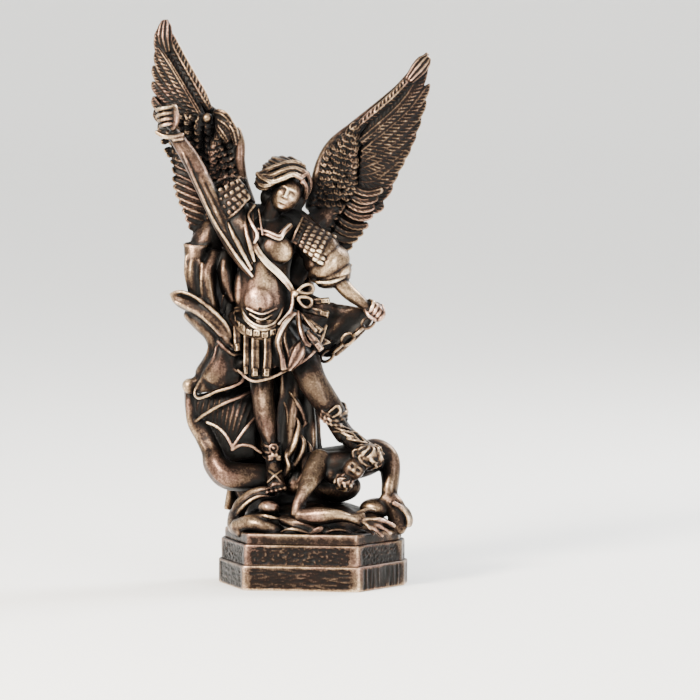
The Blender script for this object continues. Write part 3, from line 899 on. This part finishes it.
def carve_ground(clay):
    """Broken ground over the plinth, with rounded stones and curling tongues of rock or flame."""
    clay.ball((0, 46, 6), (84, 36, 64), count=40, sides=70,
              relief=lambda x, z, y: 1.5 * np.sin(x * 0.22 + 1.3 * np.sin(y * 0.2)) * np.sin(y * 0.19 + 0.5))
    clay.ball((-18, 60, 24), (52, 52, 40), count=40, sides=60,
              relief=lambda x, z, y: 1.8 * np.sin(x * 0.25 + z * 0.3) * np.sin(y * 0.23 + z * 0.2))
    clay.tube([(-74, 58, -34, 7, 10), (-60, 60, -48, 9, 10), (-46, 56, -54, 8, 9), (-34, 53, -52, 6, 7)],
              count=40, sides=30)
    clay.ball((-43, 75, -42), (11, 7.6, 12), lean=8, count=30, sides=40,
              relief=lambda x, z, y: 0.5 * np.sin(x * 0.8 + z * 0.5) * np.sin(y * 0.7))
    clay.tube([(-57, 68, -50, 1.6), (-48, 68, -57, 2.2), (-40, 66, -58, 2.2), (-32, 65, -55, 1.4)], count=30)
    clay.tube([(-76, 64, -14, 7, 10), (-72, 76, -16, 7, 9), (-62, 86, -18, 6.5, 8), (-50, 91, -22, 6, 8),
               (-38, 92, -24, 5, 7)], count=40, sides=30, relief=strands(3, 0.6, 5))
    clay.tube([(-77, 60, -22, 2.0), (-74, 70, -25, 2.6), (-65, 80, -27, 2.6), (-54, 86, -29, 2.2),
               (-42, 87, -32, 1.6)], count=40)
    clay.tube([(-78, 66, -8, 7, 10), (-77, 57, -26, 8, 9), (-69, 50, -42, 6, 8)], count=24)
    clay.tube([(-30, 64, -50, 5, 6), (-16, 60, -60, 5, 6), (0, 56, -64, 4.4, 5), (16, 53, -66, 3.6, 4)],
              count=40, sides=30, relief=strands(3, 0.6, 9))
    loops = (
        [(-32, 52, -62, 1.4), (-22, 55, -66, 2.2), (-10, 53, -68, 2.2), (-2, 50, -68, 1.4)],
        [(-4, 50, -68, 1.5), (4, 55, -70, 2.0), (9, 57, -70, 2.0), (8, 53, -70, 1.8), (0, 49, -69, 1.5)],
        [(10, 49, -68, 1.5), (20, 54, -70, 2.0), (31, 54, -69, 2.2), (38, 51, -67, 2.0), (30, 48, -68, 2.2),
         (14, 47, -69, 1.5)],
        [(40, 50, -64, 1.5), (48, 53, -62, 2.0), (56, 50, -58, 1.5)],
        [(-60, 48, -52, 1.6), (-44, 49, -60, 2.0), (-30, 48, -63, 1.6)],
    )
    for loop in loops:
        clay.tube(loop, count=40, sides=14)
    clay.tube([(56, 56, -22, 18, 18), (78, 50, -4, 8, 16)], count=16)
    clay.tube([(-42, 200, 18, 8, 12), (-26, 165, 14, 13, 12), (-22, 130, 8, 16, 14), (-20, 96, 2, 20, 18)],
              count=60, sides=60, relief=strands(5, 1.2, 9))
    tongues = (
        [(-28, 120, -12, 3), (-20, 134, -18, 3.6), (-16, 147, -16, 3.0), (-14, 158, -12, 2.2),
         (-17, 166, -8, 1.4)],
        [(-22, 112, -14, 3), (-12, 126, -18, 3.4), (-9, 140, -15, 2.6), (-13, 150, -12, 1.8),
         (-6, 160, -8, 1.4)],
        [(-14, 102, -14, 3), (-5, 117, -17, 3.2), (-2, 132, -12, 2.4), (-7, 142, -9, 1.6)],
        [(-30, 104, -16, 3), (-24, 116, -19, 3), (-27, 128, -16, 2.2), (-22, 138, -14, 1.4)],
        [(-33, 188, -2, 1.6), (-26, 172, -6, 2.4), (-25, 156, -7, 2.4), (-29, 142, -6, 1.6)],
        [(-25, 192, -4, 1.6), (-16, 180, -9, 2.8), (-10, 168, -8, 2.4), (-8, 156, -5, 1.4)],
    )
    for path in tongues:
        clay.tube(path, count=36, sides=16, relief=strands(4, 0.35, 5))


# each piece's carver, the grain of its clay in millimetres, how often it is smoothed, and its triangles
PIECES = {
    "wing_left": (carve_left_wing, 0.14, 2, 150000),
    "wing_right": (carve_right_wing, 0.14, 2, 140000),
    "figure_upper": (carve_upper, 0.16, 3, 190000),
    "figure_kilt": (carve_kilt, 0.16, 3, 90000),
    "figure_legs": (carve_legs, 0.16, 4, 70000),
    "cloak": (carve_cloak, 0.22, 12, 110000),
    "demon": (carve_demon, 0.18, 5, 120000),
    "ground": (carve_ground, 0.22, 8, 60000),
}
PLINTH_TRIANGLES = 60000


def colour(code):
    """sRGB hex to the linear RGBA that shaders take."""
    parts = [int(code[i:i + 2], 16) / 255 for i in (1, 3, 5)]
    return tuple(c / 12.92 if c <= 0.04045 else ((c + 0.055) / 1.055) ** 2.4 for c in parts) + (1.0,)


def node(tree, kind, inputs=None, stops=(), **settings):
    """Adds one shader node with its settings and colour stops, and links or sets its inputs by name or number."""
    new = tree.nodes.new(kind)
    for key, value in settings.items():
        setattr(new, key, value)
    for key, value in (inputs or {}).items():
        if isinstance(value, bpy.types.NodeSocket):
            tree.links.new(value, new.inputs[key])
        else:
            new.inputs[key].default_value = value
    for number, (place, tint) in enumerate(stops):
        element = new.color_ramp.elements[number] if number < 2 else new.color_ramp.elements.new(place)
        element.position, element.color = place, tint
    return new


BRONZE = "antique_bronze_paint"
# where the paint is rubbed brightest, belly, breast, face and sleeve: x, y, z and reach in millimetres
RUBBED = ((-10.4, -4.0, 65.5, 12), (-10.6, -3.0, 77.0, 10), (-5.6, -3.0, 89.5, 8), (5.5, -1.0, 72.0, 10))


def bronze_material(settings):
    """Cast resin, sprayed near black and rubbed by hand with bronze and copper powder paint."""
    # To the eye: matt black in the hollows, brown satin metal between, and worn, shining copper gold where a
    # cloth reached. The tone follows how proud and how closed in a place is, with specks where powder missed.
    material = bpy.data.materials.new(BRONZE)
    material.use_nodes = True
    tree = material.node_tree
    shader = tree.nodes["Principled BSDF"]
    place = node(tree, "ShaderNodeTexCoord").outputs["Object"]
    proud, closed, swell, panel = (node(tree, "ShaderNodeAttribute", attribute_name=name).outputs["Fac"]
                                  for name in ("proud", "closed", "swell", "panel"))
    # powder specks of 0.4 mm, drawn coarser than the real 0.1 mm, and hand-rubbed patches of 4 mm
    speck = node(tree, "ShaderNodeTexNoise",
                 {"Vector": place, "Scale": 1 / (0.42 * MM), "Detail": 3.0}).outputs["Fac"]
    patch = node(tree, "ShaderNodeTexNoise",
                 {"Vector": place, "Scale": 1 / (3.8 * MM), "Detail": 2.0}).outputs["Fac"]
    shut = node(tree, "ShaderNodeMapRange", {0: closed, 1: 0.05, 2: 0.7}).outputs[0]
    # a cloth reaches the breast, the face and the arms most, and the back of the casting least
    rubbed = []
    for *spot, reach in (tuple(v * MM for v in row) for row in RUBBED):
        away = node(tree, "ShaderNodeVectorMath", {0: place, 1: spot}, operation="DISTANCE").outputs["Value"]
        rubbed.append(node(tree, "ShaderNodeMapRange", {0: away, 1: reach, 2: 0.4 * reach}).outputs[0])
    depth = node(tree, "ShaderNodeSeparateXYZ", {0: place}).outputs["Y"]
    back = node(tree, "ShaderNodeMapRange", {0: depth, 1: 1 * MM, 2: 7 * MM}).outputs[0]
    tone = settings.base
    parts = [(near, settings.handled) for near in rubbed]
    parts += [(back, -settings.behind), (proud, settings.edge), (shut, -settings.wash),
              (swell, settings.swell), (panel, -settings.panel), (speck, 0.36), (patch, 0.24)]
    for value, share in parts:
        tone = node(tree, "ShaderNodeMath", {0: value, 1: share, 2: tone},
                    operation="MULTIPLY_ADD").outputs[0]
    factor = node(tree, "ShaderNodeClamp", {0: tone}).outputs[0]
    tints = [
        node(tree, "ShaderNodeValToRGB", {"Fac": factor}, zip((0.0, 0.3, 0.5, 0.7, 0.86, 1.0), (
            settings.hollow, settings.dark, settings.brown, middle, bright, shine))).outputs["Color"]
        for middle, bright, shine in ((settings.gold_middle, settings.gold_bright, settings.gold_shine),
                                      (settings.copper_middle, settings.copper_bright, settings.copper_shine))
    ]
    # gold and copper powder lie in clouds of about 11 mm
    hue = node(tree, "ShaderNodeTexNoise",
               {"Vector": place, "Scale": 1 / (11 * MM), "Detail": 1.0}).outputs["Fac"]
    share = node(tree, "ShaderNodeMapRange", {0: hue, 1: 0.5, 2: 0.66}).outputs[0]
    paint = node(tree, "ShaderNodeMix", {"Factor": share, "A": tints[0], "B": tints[1]}, data_type="RGBA")
    tree.links.new(paint.outputs["Result"], shader.inputs["Base Color"])
    metal = node(tree, "ShaderNodeMapRange", {0: factor, 1: 0.15, 2: 0.6, 3: 0.3, 4: 0.92}).outputs[0]
    gloss = node(tree, "ShaderNodeMapRange", {0: factor, 1: 0.1, 2: 0.8, 3: 0.5, 4: 0.33}).outputs[0]
    tree.links.new(metal, shader.inputs["Metallic"])
    tree.links.new(gloss, shader.inputs["Roughness"])
    shader.inputs["Specular IOR Level"].default_value = 0.2
    pits = node(tree, "ShaderNodeBump", {"Strength": 0.35, "Distance": 0.12 * MM, "Height": speck})
    tree.links.new(pits.outputs[0], shader.inputs["Normal"])
    return material


def paper_material(tint):
    """White background paper: matt, with the faint tooth of uncoated card."""
    # To the eye: an even pale ground with soft shadows and no shine.
    material = bpy.data.materials.new("matt_background_paper")
    material.use_nodes = True
    tree = material.node_tree
    shader = tree.nodes["Principled BSDF"]
    shader.inputs["Base Color"].default_value = tint
    shader.inputs["Roughness"].default_value = 0.9
    place = node(tree, "ShaderNodeTexCoord").outputs["Object"]
    # paper fibres of about 0.5 mm
    tooth = node(tree, "ShaderNodeTexNoise",
                 {"Vector": place, "Scale": 1 / (0.5 * MM), "Detail": 2.0}).outputs["Fac"]
    felt = node(tree, "ShaderNodeBump", {"Strength": 0.05, "Distance": 0.02 * MM, "Height": tooth})
    tree.links.new(felt.outputs[0], shader.inputs["Normal"])
    return material


def linked(name, data):
    """A new object in the scene."""
    thing = bpy.data.objects.new(name, data)
    bpy.context.scene.collection.objects.link(thing)
    return thing


def mesh_from(name, points, quads, tris):
    """A mesh from arrays of points, quads and triangles."""
    data = bpy.data.meshes.new(name)
    data.vertices.add(len(points))
    data.vertices.foreach_set("co", points.astype(np.float32).ravel())
    corners = np.concatenate([quads.ravel(), tris.ravel()]).astype(np.int32)
    data.loops.add(len(corners))
    data.loops.foreach_set("vertex_index", corners)
    sizes = np.concatenate([np.full(len(quads), 4), np.full(len(tris), 3)])
    starts = np.concatenate([[0], np.cumsum(sizes)[:-1]]).astype(np.int32)
    data.polygons.add(len(sizes))
    data.polygons.foreach_set("loop_start", starts)
    data.update(calc_edges=True)
    data.validate()
    return data


def change(piece, kind, **settings):
    """Add a modifier with its settings and apply it."""
    bpy.context.view_layer.objects.active = piece
    tool = piece.modifiers.new(kind.lower(), kind)
    for key, value in settings.items():
        setattr(tool, key, value)
    bpy.ops.object.modifier_apply(modifier=tool.name)


def co_of(data):
    """A mesh's vertices as an array."""
    co = np.empty(len(data.vertices) * 3, np.float32)
    data.vertices.foreach_get("co", co)
    return co.reshape(-1, 3).astype(float)


def set_co(data, co):
    """Move a mesh's vertices to the rows of an array."""
    data.vertices.foreach_set("co", co.astype(np.float32).ravel())
    data.update()


def normals_of(data):
    """A mesh's vertex normals as an array."""
    out = np.empty(len(data.vertices) * 3, np.float32)
    data.vertex_normals.foreach_get("vector", out)
    return out.reshape(-1, 3).astype(float)


def edges_of(data):
    """A mesh's edges as pairs of vertex numbers."""
    pairs = np.empty(len(data.edges) * 2, np.int32)
    data.edges.foreach_get("vertices", pairs)
    return pairs.reshape(-1, 2)


def averaged(values, pairs, times):
    """Each vertex's value, evened out with its neighbours' the given number of times."""
    count = len(values)
    a, b = pairs[:, 0], pairs[:, 1]
    degree = np.maximum(np.bincount(a, minlength=count) + np.bincount(b, minlength=count), 1)
    flat = values.reshape(count, -1).copy()
    for _ in range(times):
        flat = np.stack([
            (np.bincount(a, flat[b, k], count) + np.bincount(b, flat[a, k], count)) / degree * 0.5
            + flat[:, k] * 0.5
            for k in range(flat.shape[1])
        ], 1)
    return flat.reshape(values.shape)


def grid(size):
    return size * 1.0


def keep_large_bodies(data, share=0.02):
    """Drop sealed pockets and crumbs that the fusing leaves."""
    pairs = edges_of(data)
    count = len(data.vertices)
    label = np.arange(count)
    while True:
        low = np.minimum(label[pairs[:, 0]], label[pairs[:, 1]])
        new = label.copy()
        np.minimum.at(new, pairs[:, 0], low)
        np.minimum.at(new, pairs[:, 1], low)
        new = new[new]
        if (new == label).all():
            break
        label = new
    sizes = np.bincount(label, minlength=count)
    small = sizes[label] < share * count
    if small.any():
        mesh = bmesh.new()
        mesh.from_mesh(data)
        mesh.verts.ensure_lookup_table()
        bmesh.ops.delete(mesh, geom=[mesh.verts[i] for i in np.flatnonzero(small)], context="VERTS")
        mesh.to_mesh(data)
        mesh.free()


def settle(piece):
    """Declare a finished piece: it is painted, rides on the body and stands for the cast solid."""
    piece.data.shade_smooth()
    piece.data.materials.clear()
    piece.data.materials.append(bpy.data.materials[BRONZE])
    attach(piece, "root")
    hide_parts("statue")
    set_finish(piece, "bronzed_resin")


def carve_piece(name, settings):
    """Draw a piece's forms in clay, fuse them on a fine grid, smooth them and roughen them a little."""
    draw, fineness, smoothing, _ = PIECES[name]
    square = settings.carving_height / SQUARES_UP
    clay = Clay()
    draw(clay)
    data = mesh_from(name, np.vstack(clay.points) * square, np.vstack(clay.quads), np.vstack(clay.tris))
    lift = PLINTH_TOP - GROUND_LINE * square
    view = Matrix.Rotation(TURN, 4, "Z") @ Matrix.Rotation(-LEAN, 4, "X")
    data.transform(Matrix.Translation((0, 0, lift)) @ view)
    piece = linked(name, data)
    change(piece, "REMESH", mode="VOXEL", voxel_size=grid(fineness * MM))
    keep_large_bodies(piece.data)
    data = piece.data
    set_co(data, averaged(co_of(data), edges_of(data), smoothing))
    co = co_of(data)
    rough = grain(co, 0.9 * MM, 1) + 0.6 * grain(co, 0.4 * MM, 2)
    set_co(data, co + normals_of(data) * (rough * settings.roughness)[:, None])
    settle(piece)


def surroundings(co, normal, cloud, cell):
    """How each point lies among the whole carving's surface, from a blurred count of cloud in boxes.

    closed is the share of cloud just outside the point, from 0 to about 1. swell is how far the point stands
    out, in cells, from the middle of the surface round it: above 0 on broad round forms, below 0 in dips.
    """
    low = cloud.min(0) - 5 * cell
    size = np.ceil((cloud.max(0) + 5 * cell - low) / cell).astype(int)
    boxes = []
    for weight in (np.ones(len(cloud)), *(cloud - low).T):
        boxes.append(np.bincount(np.ravel_multi_index(tuple(((cloud - low) / cell).astype(int).T), size),
                                 weight, size.prod()).reshape(size))
    filled = boxes[0] > 0
    boxes = [np.where(filled, box / np.maximum(boxes[0], 1), 0) for box in boxes]
    for axis in range(3):
        for _ in range(2):
            boxes = [(np.roll(box, 1, axis) + 2 * box + np.roll(box, -1, axis)) / 4 for box in boxes]
    outside = tuple(np.clip(((co + normal * 1.9 * cell - low) / cell).astype(int), 0, size - 1).T)
    here = tuple(np.clip(((co - low) / cell).astype(int), 0, size - 1).T)
    middle = np.stack([box[here] / np.maximum(boxes[0][here], 1e-6) for box in boxes[1:]], 1) + low
    return boxes[0][outside], ((co - middle) * normal).sum(1) / cell


def store(data, name, values):
    """Keep one value for each vertex where the paint can read it."""
    attribute = data.attributes.get(name) or data.attributes.new(name, "FLOAT", "POINT")
    attribute.data.foreach_set("value", values.astype(np.float32))


def rub(piece, cloud):
    """Store how proud, how closed in and how swollen each place is, for the paint's rub and wash."""
    data = piece.data
    co, normal, pairs = co_of(data), normals_of(data), edges_of(data)
    smooth, proud = co, 0.0
    spacing = np.linalg.norm(co[pairs[:, 0]] - co[pairs[:, 1]], axis=1).mean()
    for times, weight in ((6, 0.5), (24, 0.5)):
        smooth = averaged(smooth, pairs, times)
        height = ((co - smooth) * normal).sum(1) / spacing
        proud = proud + weight * np.clip(height / (0.11 * math.sqrt(times)), -1.6, 1.0)
    store(data, "proud", averaged(proud, pairs, 1))
    closed, _ = surroundings(co, normal, cloud, 1.1 * MM)
    _, swell = surroundings(co, normal, cloud, 1.7 * MM)
    store(data, "closed", averaged(closed, pairs, 4))
    store(data, "swell", averaged(np.clip(swell, -1, 1), pairs, 16))


def slim(piece):
    """Spend the piece's triangles where its carving needs them."""
    budget = PIECES[piece.name][3] if piece.name in PIECES else PLINTH_TRIANGLES / len(STEPS)
    have = sum(len(face.vertices) - 2 for face in piece.data.polygons)
    change(piece, "DECIMATE", ratio=min(1.0, budget / have))
    keep_large_bodies(piece.data)


def length_property(name, description, default):
    return FloatProperty(name=name, description=description, default=default, min=0.0, max=5.0, precision=5,
                         subtype="DISTANCE", unit="LENGTH")


def share_property(name, description, default):
    return FloatProperty(name=name, description=description, default=default, min=-1.0, max=2.0)


def colour_property(name, description, code):
    return FloatVectorProperty(name=name, description=description, default=colour(code), size=4, min=0.0,
                               max=1.0, subtype="COLOR")


class StatuetteSettings(bpy.types.PropertyGroup):
    """Sizes and colours that the operators read."""

    carving_height: length_property("Carving height", "From the second step to the higher wing tip", 119.4 * MM)
    roughness: length_property("Casting grain", "Height of the casting's fine grain", 0.02 * MM)
    plinth_width: length_property("Plinth width", "Across the plinth's lower step", 43.6 * MM)
    plinth_depth: length_property("Plinth depth", "From front to back of the lower step", 36.0 * MM)
    front_face: length_property("Front face", "Width of the plinth's front between cut corners", 27.0 * MM)
    side_face: length_property("Side face", "Width of the plinth's side between cut corners", 5.0 * MM)
    plinth_grain: length_property("Plinth detail", "Finest detail on the plinth", 0.2 * MM)
    base: share_property("Base tone", "Brightness of the paint on level places", 0.16)
    edge: share_property("Rub", "How much brighter high places are", 0.26)
    wash: share_property("Wash", "How much darker closed-in places are", 0.45)
    swell: share_property("Swell", "How much brighter broad round forms are", 0.28)
    handled: share_property("Handled", "How much brighter the breast, face and sleeve are", 0.24)
    behind: share_property("Behind", "How much darker the back of the casting is", 0.07)
    panel: share_property("Panel wash", "How much darker the plinth's rough panels are", 0.12)
    hollow: colour_property("Hollow", "Paint in the deepest places", "#020101")
    dark: colour_property("Dark", "Paint in the hollows", "#060504")
    brown: colour_property("Brown", "Paint between the hollows and the rubbed places", "#1f1612")
    gold_middle: colour_property("Gold, dull", "Lightly rubbed gold powder", "#5c4b3c")
    gold_bright: colour_property("Gold, bright", "Well rubbed gold powder", "#ab9070")
    gold_shine: colour_property("Gold, shining", "Gold powder on the highest places", "#f5e2c4")
    copper_middle: colour_property("Copper, dull", "Lightly rubbed copper powder", "#5e483e")
    copper_bright: colour_property("Copper, bright", "Well rubbed copper powder", "#a98470")
    copper_shine: colour_property("Copper, shining", "Copper powder on the highest places", "#f1d4c2")
    floor: colour_property("Floor", "Paper floor and backdrop", "#fbfbf9")
    distance: length_property("Camera distance", "From the lens to the statuette", 1.5)
    field: length_property("Field of view", "Width of the picture at the statuette", 162.4 * MM)


class STATUETTE_OT_wings(bpy.types.Operator):
    """Carve both wings with their long feathers and coverts"""

    bl_idname = "statuette.wings"
    bl_label = "Carve wings"

    def execute(self, context):
        for name in ("wing_left", "wing_right"):
            carve_piece(name, context.scene.statuette)
        return {"FINISHED"}


class STATUETTE_OT_figure(bpy.types.Operator):
    """Carve the archangel: head, cuirass and arms, kilt and legs"""

    bl_idname = "statuette.figure"
    bl_label = "Carve archangel"

    def execute(self, context):
        for name in ("figure_upper", "figure_kilt", "figure_legs"):
            carve_piece(name, context.scene.statuette)
        return {"FINISHED"}


class STATUETTE_OT_cloak(bpy.types.Operator):
    """Carve the wind-blown cloak and its fall down the back"""

    bl_idname = "statuette.cloak"
    bl_label = "Carve cloak"

    def execute(self, context):
        carve_piece("cloak", context.scene.statuette)
        return {"FINISHED"}


class STATUETTE_OT_demon(bpy.types.Operator):
    """Carve the fallen demon with its bat wing and tail"""

    bl_idname = "statuette.demon"
    bl_label = "Carve demon"

    def execute(self, context):
        carve_piece("demon", context.scene.statuette)
        return {"FINISHED"}


class STATUETTE_OT_ground(bpy.types.Operator):
    """Carve the broken ground that both stand on"""

    bl_idname = "statuette.ground"
    bl_label = "Carve ground"

    def execute(self, context):
        carve_piece("ground", context.scene.statuette)
        return {"FINISHED"}


STEPS = ((0.0, 0.0, 5.8), (0.6, 5.5, 10.6), (1.4, 10.3, 13.0))  # inset, bottom and top in millimetres


def octagon(settings, inset):
    """The plinth's eight corners with every face set in by inset."""
    cut = math.atan2(settings.plinth_depth - settings.side_face, settings.plinth_width - settings.front_face)
    near_x = settings.front_face / 2 - inset * math.tan(cut / 2)
    near_y = settings.side_face / 2 - inset * math.tan((math.pi / 2 - cut) / 2)
    half_x, half_y = settings.plinth_width / 2 - inset, settings.plinth_depth / 2 - inset
    quarter = [(near_x, half_y), (half_x, near_y)]
    return (list(quarter) + [(x, -y) for x, y in reversed(quarter)]
            + [(-x, -y) for x, y in quarter] + [(-x, y) for x, y in reversed(quarter)])


def plinth_step(number, settings):
    """One step: a block with cut corners and round edges, rough on its sides between the smooth corners."""
    inset, bottom, top = (v * MM for v in STEPS[number])
    corners = octagon(settings, inset)
    bpy.ops.object.select_all(action="DESELECT")
    size = (settings.plinth_width - 2 * inset, settings.plinth_depth - 2 * inset, top - bottom)
    bpy.ops.mesh.primitive_cube_add(size=1.0, location=(0, 0, (bottom + top) / 2), scale=size)
    block = bpy.context.active_object
    block.name = "plinth_step_%d" % number
    bpy.ops.object.transform_apply(location=True, rotation=True, scale=True)
    bpy.ops.object.mode_set(mode="EDIT")
    for k in (0, 2, 4, 6):
        (x0, y0), (x1, y1) = corners[k], corners[k + 1]
        out = Vector((y1 - y0, x0 - x1, 0)).normalized()
        out *= 1 if out.dot(Vector((x0, y0, 0))) > 0 else -1
        bpy.ops.mesh.select_all(action="SELECT")
        bpy.ops.mesh.bisect(plane_co=(x0, y0, 0), plane_no=out, use_fill=True, clear_outer=True)
    bpy.ops.mesh.select_all(action="SELECT")
    bpy.ops.mesh.bevel(offset=0.42 * MM, segments=3, affect="EDGES")
    bpy.ops.object.mode_set(mode="OBJECT")
    change(block, "REMESH", mode="VOXEL", voxel_size=grid(settings.plinth_grain))
    data = block.data
    co, normal = co_of(data), normals_of(data)
    side = np.clip(1.6 - 3 * np.abs(normal[:, 2]), 0, 1)
    height = (co[:, 2] - bottom) / (top - bottom)
    corner = np.min([np.hypot(co[:, 0] - x, co[:, 1] - y) for x, y in corners], axis=0) / MM
    ragged = 0.5 * grain(co, 1.6 * MM, 3) + 0.3 * grain(co, 0.7 * MM, 4)
    upward = np.clip(height / 0.1 - 0.3 + 0.4 * ragged, 0, 1)
    upward = upward * np.clip((1 - height) / 0.12 - 0.5 + 0.5 * ragged, 0, 1)
    rough = side * np.clip((corner + ragged) / 1.0 - 1.3, 0, 1) * upward
    streak = grain(co * (0.5, 0.5, 3.2), 1.2 * MM, 5) + 0.8 * grain(co * (0.6, 0.6, 2.2), 0.5 * MM, 6)
    pits = grain(co * (1, 1, 1.5), 0.6 * MM, 9) + 0.9 * grain(co, 0.36 * MM, 10)
    gouge = 1.4 * grain(co * (2.4, 2.4, 0.4), 1.6 * MM, 7)
    right_cut = (co[:, 0] > settings.front_face / 2) & (co[:, 1] < 0)
    carved = np.where(right_cut, gouge, streak) if number == 0 else pits
    push = rough * (0.13 * carved - 0.14) + 0.025 * grain(co, 0.8 * MM, 8) * (co[:, 2] > 0.4 * MM)
    if number == 2:
        rough = 0 * rough
        push = 0.05 * grain(co, 1.1 * MM, 11) + 0.02 * grain(co, 0.5 * MM, 12)
    set_co(data, co + normal * (push * MM)[:, None])
    store(data, "panel", rough)
    settle(block)


class STATUETTE_OT_plinth(bpy.types.Operator):
    """Build the stepped plinth with its cut corners"""

    bl_idname = "statuette.plinth"
    bl_label = "Build plinth"

    def execute(self, context):
        for number in range(len(STEPS)):
            plinth_step(number, context.scene.statuette)
        return {"FINISHED"}


class STATUETTE_OT_paint(bpy.types.Operator):
    """Make the bronze paint"""

    bl_idname = "statuette.paint"
    bl_label = "Mix paint"

    def execute(self, context):
        bronze_material(context.scene.statuette)
        return {"FINISHED"}


class STATUETTE_OT_age(bpy.types.Operator):
    """Work out the wash and rub on every piece"""

    bl_idname = "statuette.age"
    bl_label = "Wash and rub"

    def execute(self, context):
        pieces = [o for o in context.scene.objects if "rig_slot" in o.keys()]
        if not pieces:
            raise RuntimeError("carve the pieces first")
        cloud = np.vstack([co_of(piece.data)[::3] for piece in pieces])
        for piece in pieces:
            rub(piece, cloud)
            slim(piece)
        return {"FINISHED"}


FLOOR_WIDTH = 8.0
FLAT_REACH = 1.9  # the paper lies flat this far out and curves up beyond, so that no view shows its end
FLAT_RISE = 1.1
AIM = (0, 0, 0.065)
# how far the plinth's middle lies left of the picture's centre and below it, as shares of the picture's width
LEFT_OF_CENTRE = 0.0528
BELOW_CENTRE = 0.3321


def area_light(name, place, power, size, tint="#ffffff"):
    """A soft light aimed at the statuette's middle."""
    light = linked(name, bpy.data.lights.new(name, "AREA"))
    light.data.energy = power
    light.data.shape = "RECTANGLE"
    light.data.size, light.data.size_y = size
    light.data.color = colour(tint)[:3]
    light.location = place
    light.rotation_euler = (Vector(AIM) - Vector(place)).to_track_quat("-Z", "Y").to_euler()


def soft_room(scene):
    """Even white light from the ceiling that fades towards the floor."""
    world = bpy.data.worlds.new("soft_room")
    world.use_nodes = True
    tree = world.node_tree
    way = node(tree, "ShaderNodeTexCoord").outputs["Generated"]
    height = node(tree, "ShaderNodeSeparateXYZ", {0: way}).outputs["Z"]
    strength = node(tree, "ShaderNodeMapRange", {0: height, 1: 0.0, 2: 0.9, 3: 0.22, 4: 2.3},
                    interpolation_type="SMOOTHSTEP").outputs[0]
    tree.links.new(strength, tree.nodes["Background"].inputs["Strength"])
    tree.nodes["Background"].inputs["Color"].default_value = colour("#ffffff")
    scene.world = world


class STATUETTE_OT_stage(bpy.types.Operator):
    """Set the pale floor and backdrop, the soft lights and the camera"""

    bl_idname = "statuette.stage"
    bl_label = "Set stage"

    def execute(self, context):
        settings = context.scene.statuette
        bpy.ops.mesh.primitive_plane_add(size=FLOOR_WIDTH, location=(0, 0, 0))
        floor = context.active_object
        floor.name = "floor"
        bpy.ops.object.mode_set(mode="EDIT")
        bpy.ops.mesh.select_all(action="SELECT")
        bpy.ops.mesh.subdivide(number_cuts=60)
        bpy.ops.object.mode_set(mode="OBJECT")
        for vertex in floor.data.vertices:
            beyond = max(0.0, math.hypot(vertex.co.x, vertex.co.y) - FLAT_REACH)
            vertex.co.z += beyond * beyond * FLAT_RISE
        floor.data.shade_smooth()
        floor.data.materials.append(paper_material(settings.floor))
        soft_room(context.scene)
        area_light("key_light", (-0.30, -0.48, 0.40), 13.0, (0.16, 0.16), "#fff4e4")
        area_light("fill_light", (0.42, -0.42, 0.16), 2.6, (0.2, 0.3))
        area_light("rim_light", (0.30, 0.30, 0.42), 5.0, (0.2, 0.2))
        right = Vector((math.cos(TURN), math.sin(TURN), 0))
        toward = Vector((math.sin(TURN) * math.cos(LEAN), -math.cos(TURN) * math.cos(LEAN), math.sin(LEAN)))
        upward = toward.cross(right)
        camera = linked("camera", bpy.data.cameras.new("camera"))
        camera.data.lens = camera.data.sensor_width * settings.distance / settings.field
        camera.data.clip_end = 20.0
        centre = right * (LEFT_OF_CENTRE * settings.field) + upward * (BELOW_CENTRE * settings.field)
        camera.location = centre + toward * settings.distance
        camera.rotation_euler = (-toward).to_track_quat("-Z", "Y").to_euler()
        context.scene.camera = camera
        return {"FINISHED"}


class STATUETTE_PT_panel(bpy.types.Panel):
    """The statuette's settings and steps"""

    bl_label = "Statuette"
    bl_idname = "STATUETTE_PT_panel"
    bl_space_type = "VIEW_3D"
    bl_region_type = "UI"
    bl_category = "Statuette"

    def draw(self, context):
        settings = context.scene.statuette
        for name in settings.__annotations__:
            self.layout.prop(settings, name)
        for step in STEPS_IN_ORDER:
            self.layout.operator("statuette." + step)


STEPS_IN_ORDER = ("paint", "wings", "figure", "cloak", "demon", "ground", "plinth", "age", "stage")
CLASSES = (StatuetteSettings, STATUETTE_OT_paint, STATUETTE_OT_wings, STATUETTE_OT_figure, STATUETTE_OT_cloak,
           STATUETTE_OT_demon, STATUETTE_OT_ground, STATUETTE_OT_plinth, STATUETTE_OT_age, STATUETTE_OT_stage,
           STATUETTE_PT_panel)


def register():
    for cls in CLASSES:
        bpy.utils.register_class(cls)
    bpy.types.Scene.statuette = PointerProperty(type=StatuetteSettings)


def unregister():
    del bpy.types.Scene.statuette
    for cls in reversed(CLASSES):
        bpy.utils.unregister_class(cls)


def main():
    register()
    bpy.ops.object.select_all(action="DESELECT")
    for step in STEPS_IN_ORDER:
        getattr(bpy.ops.statuette, step)()


if __name__ == "__main__":
    main()
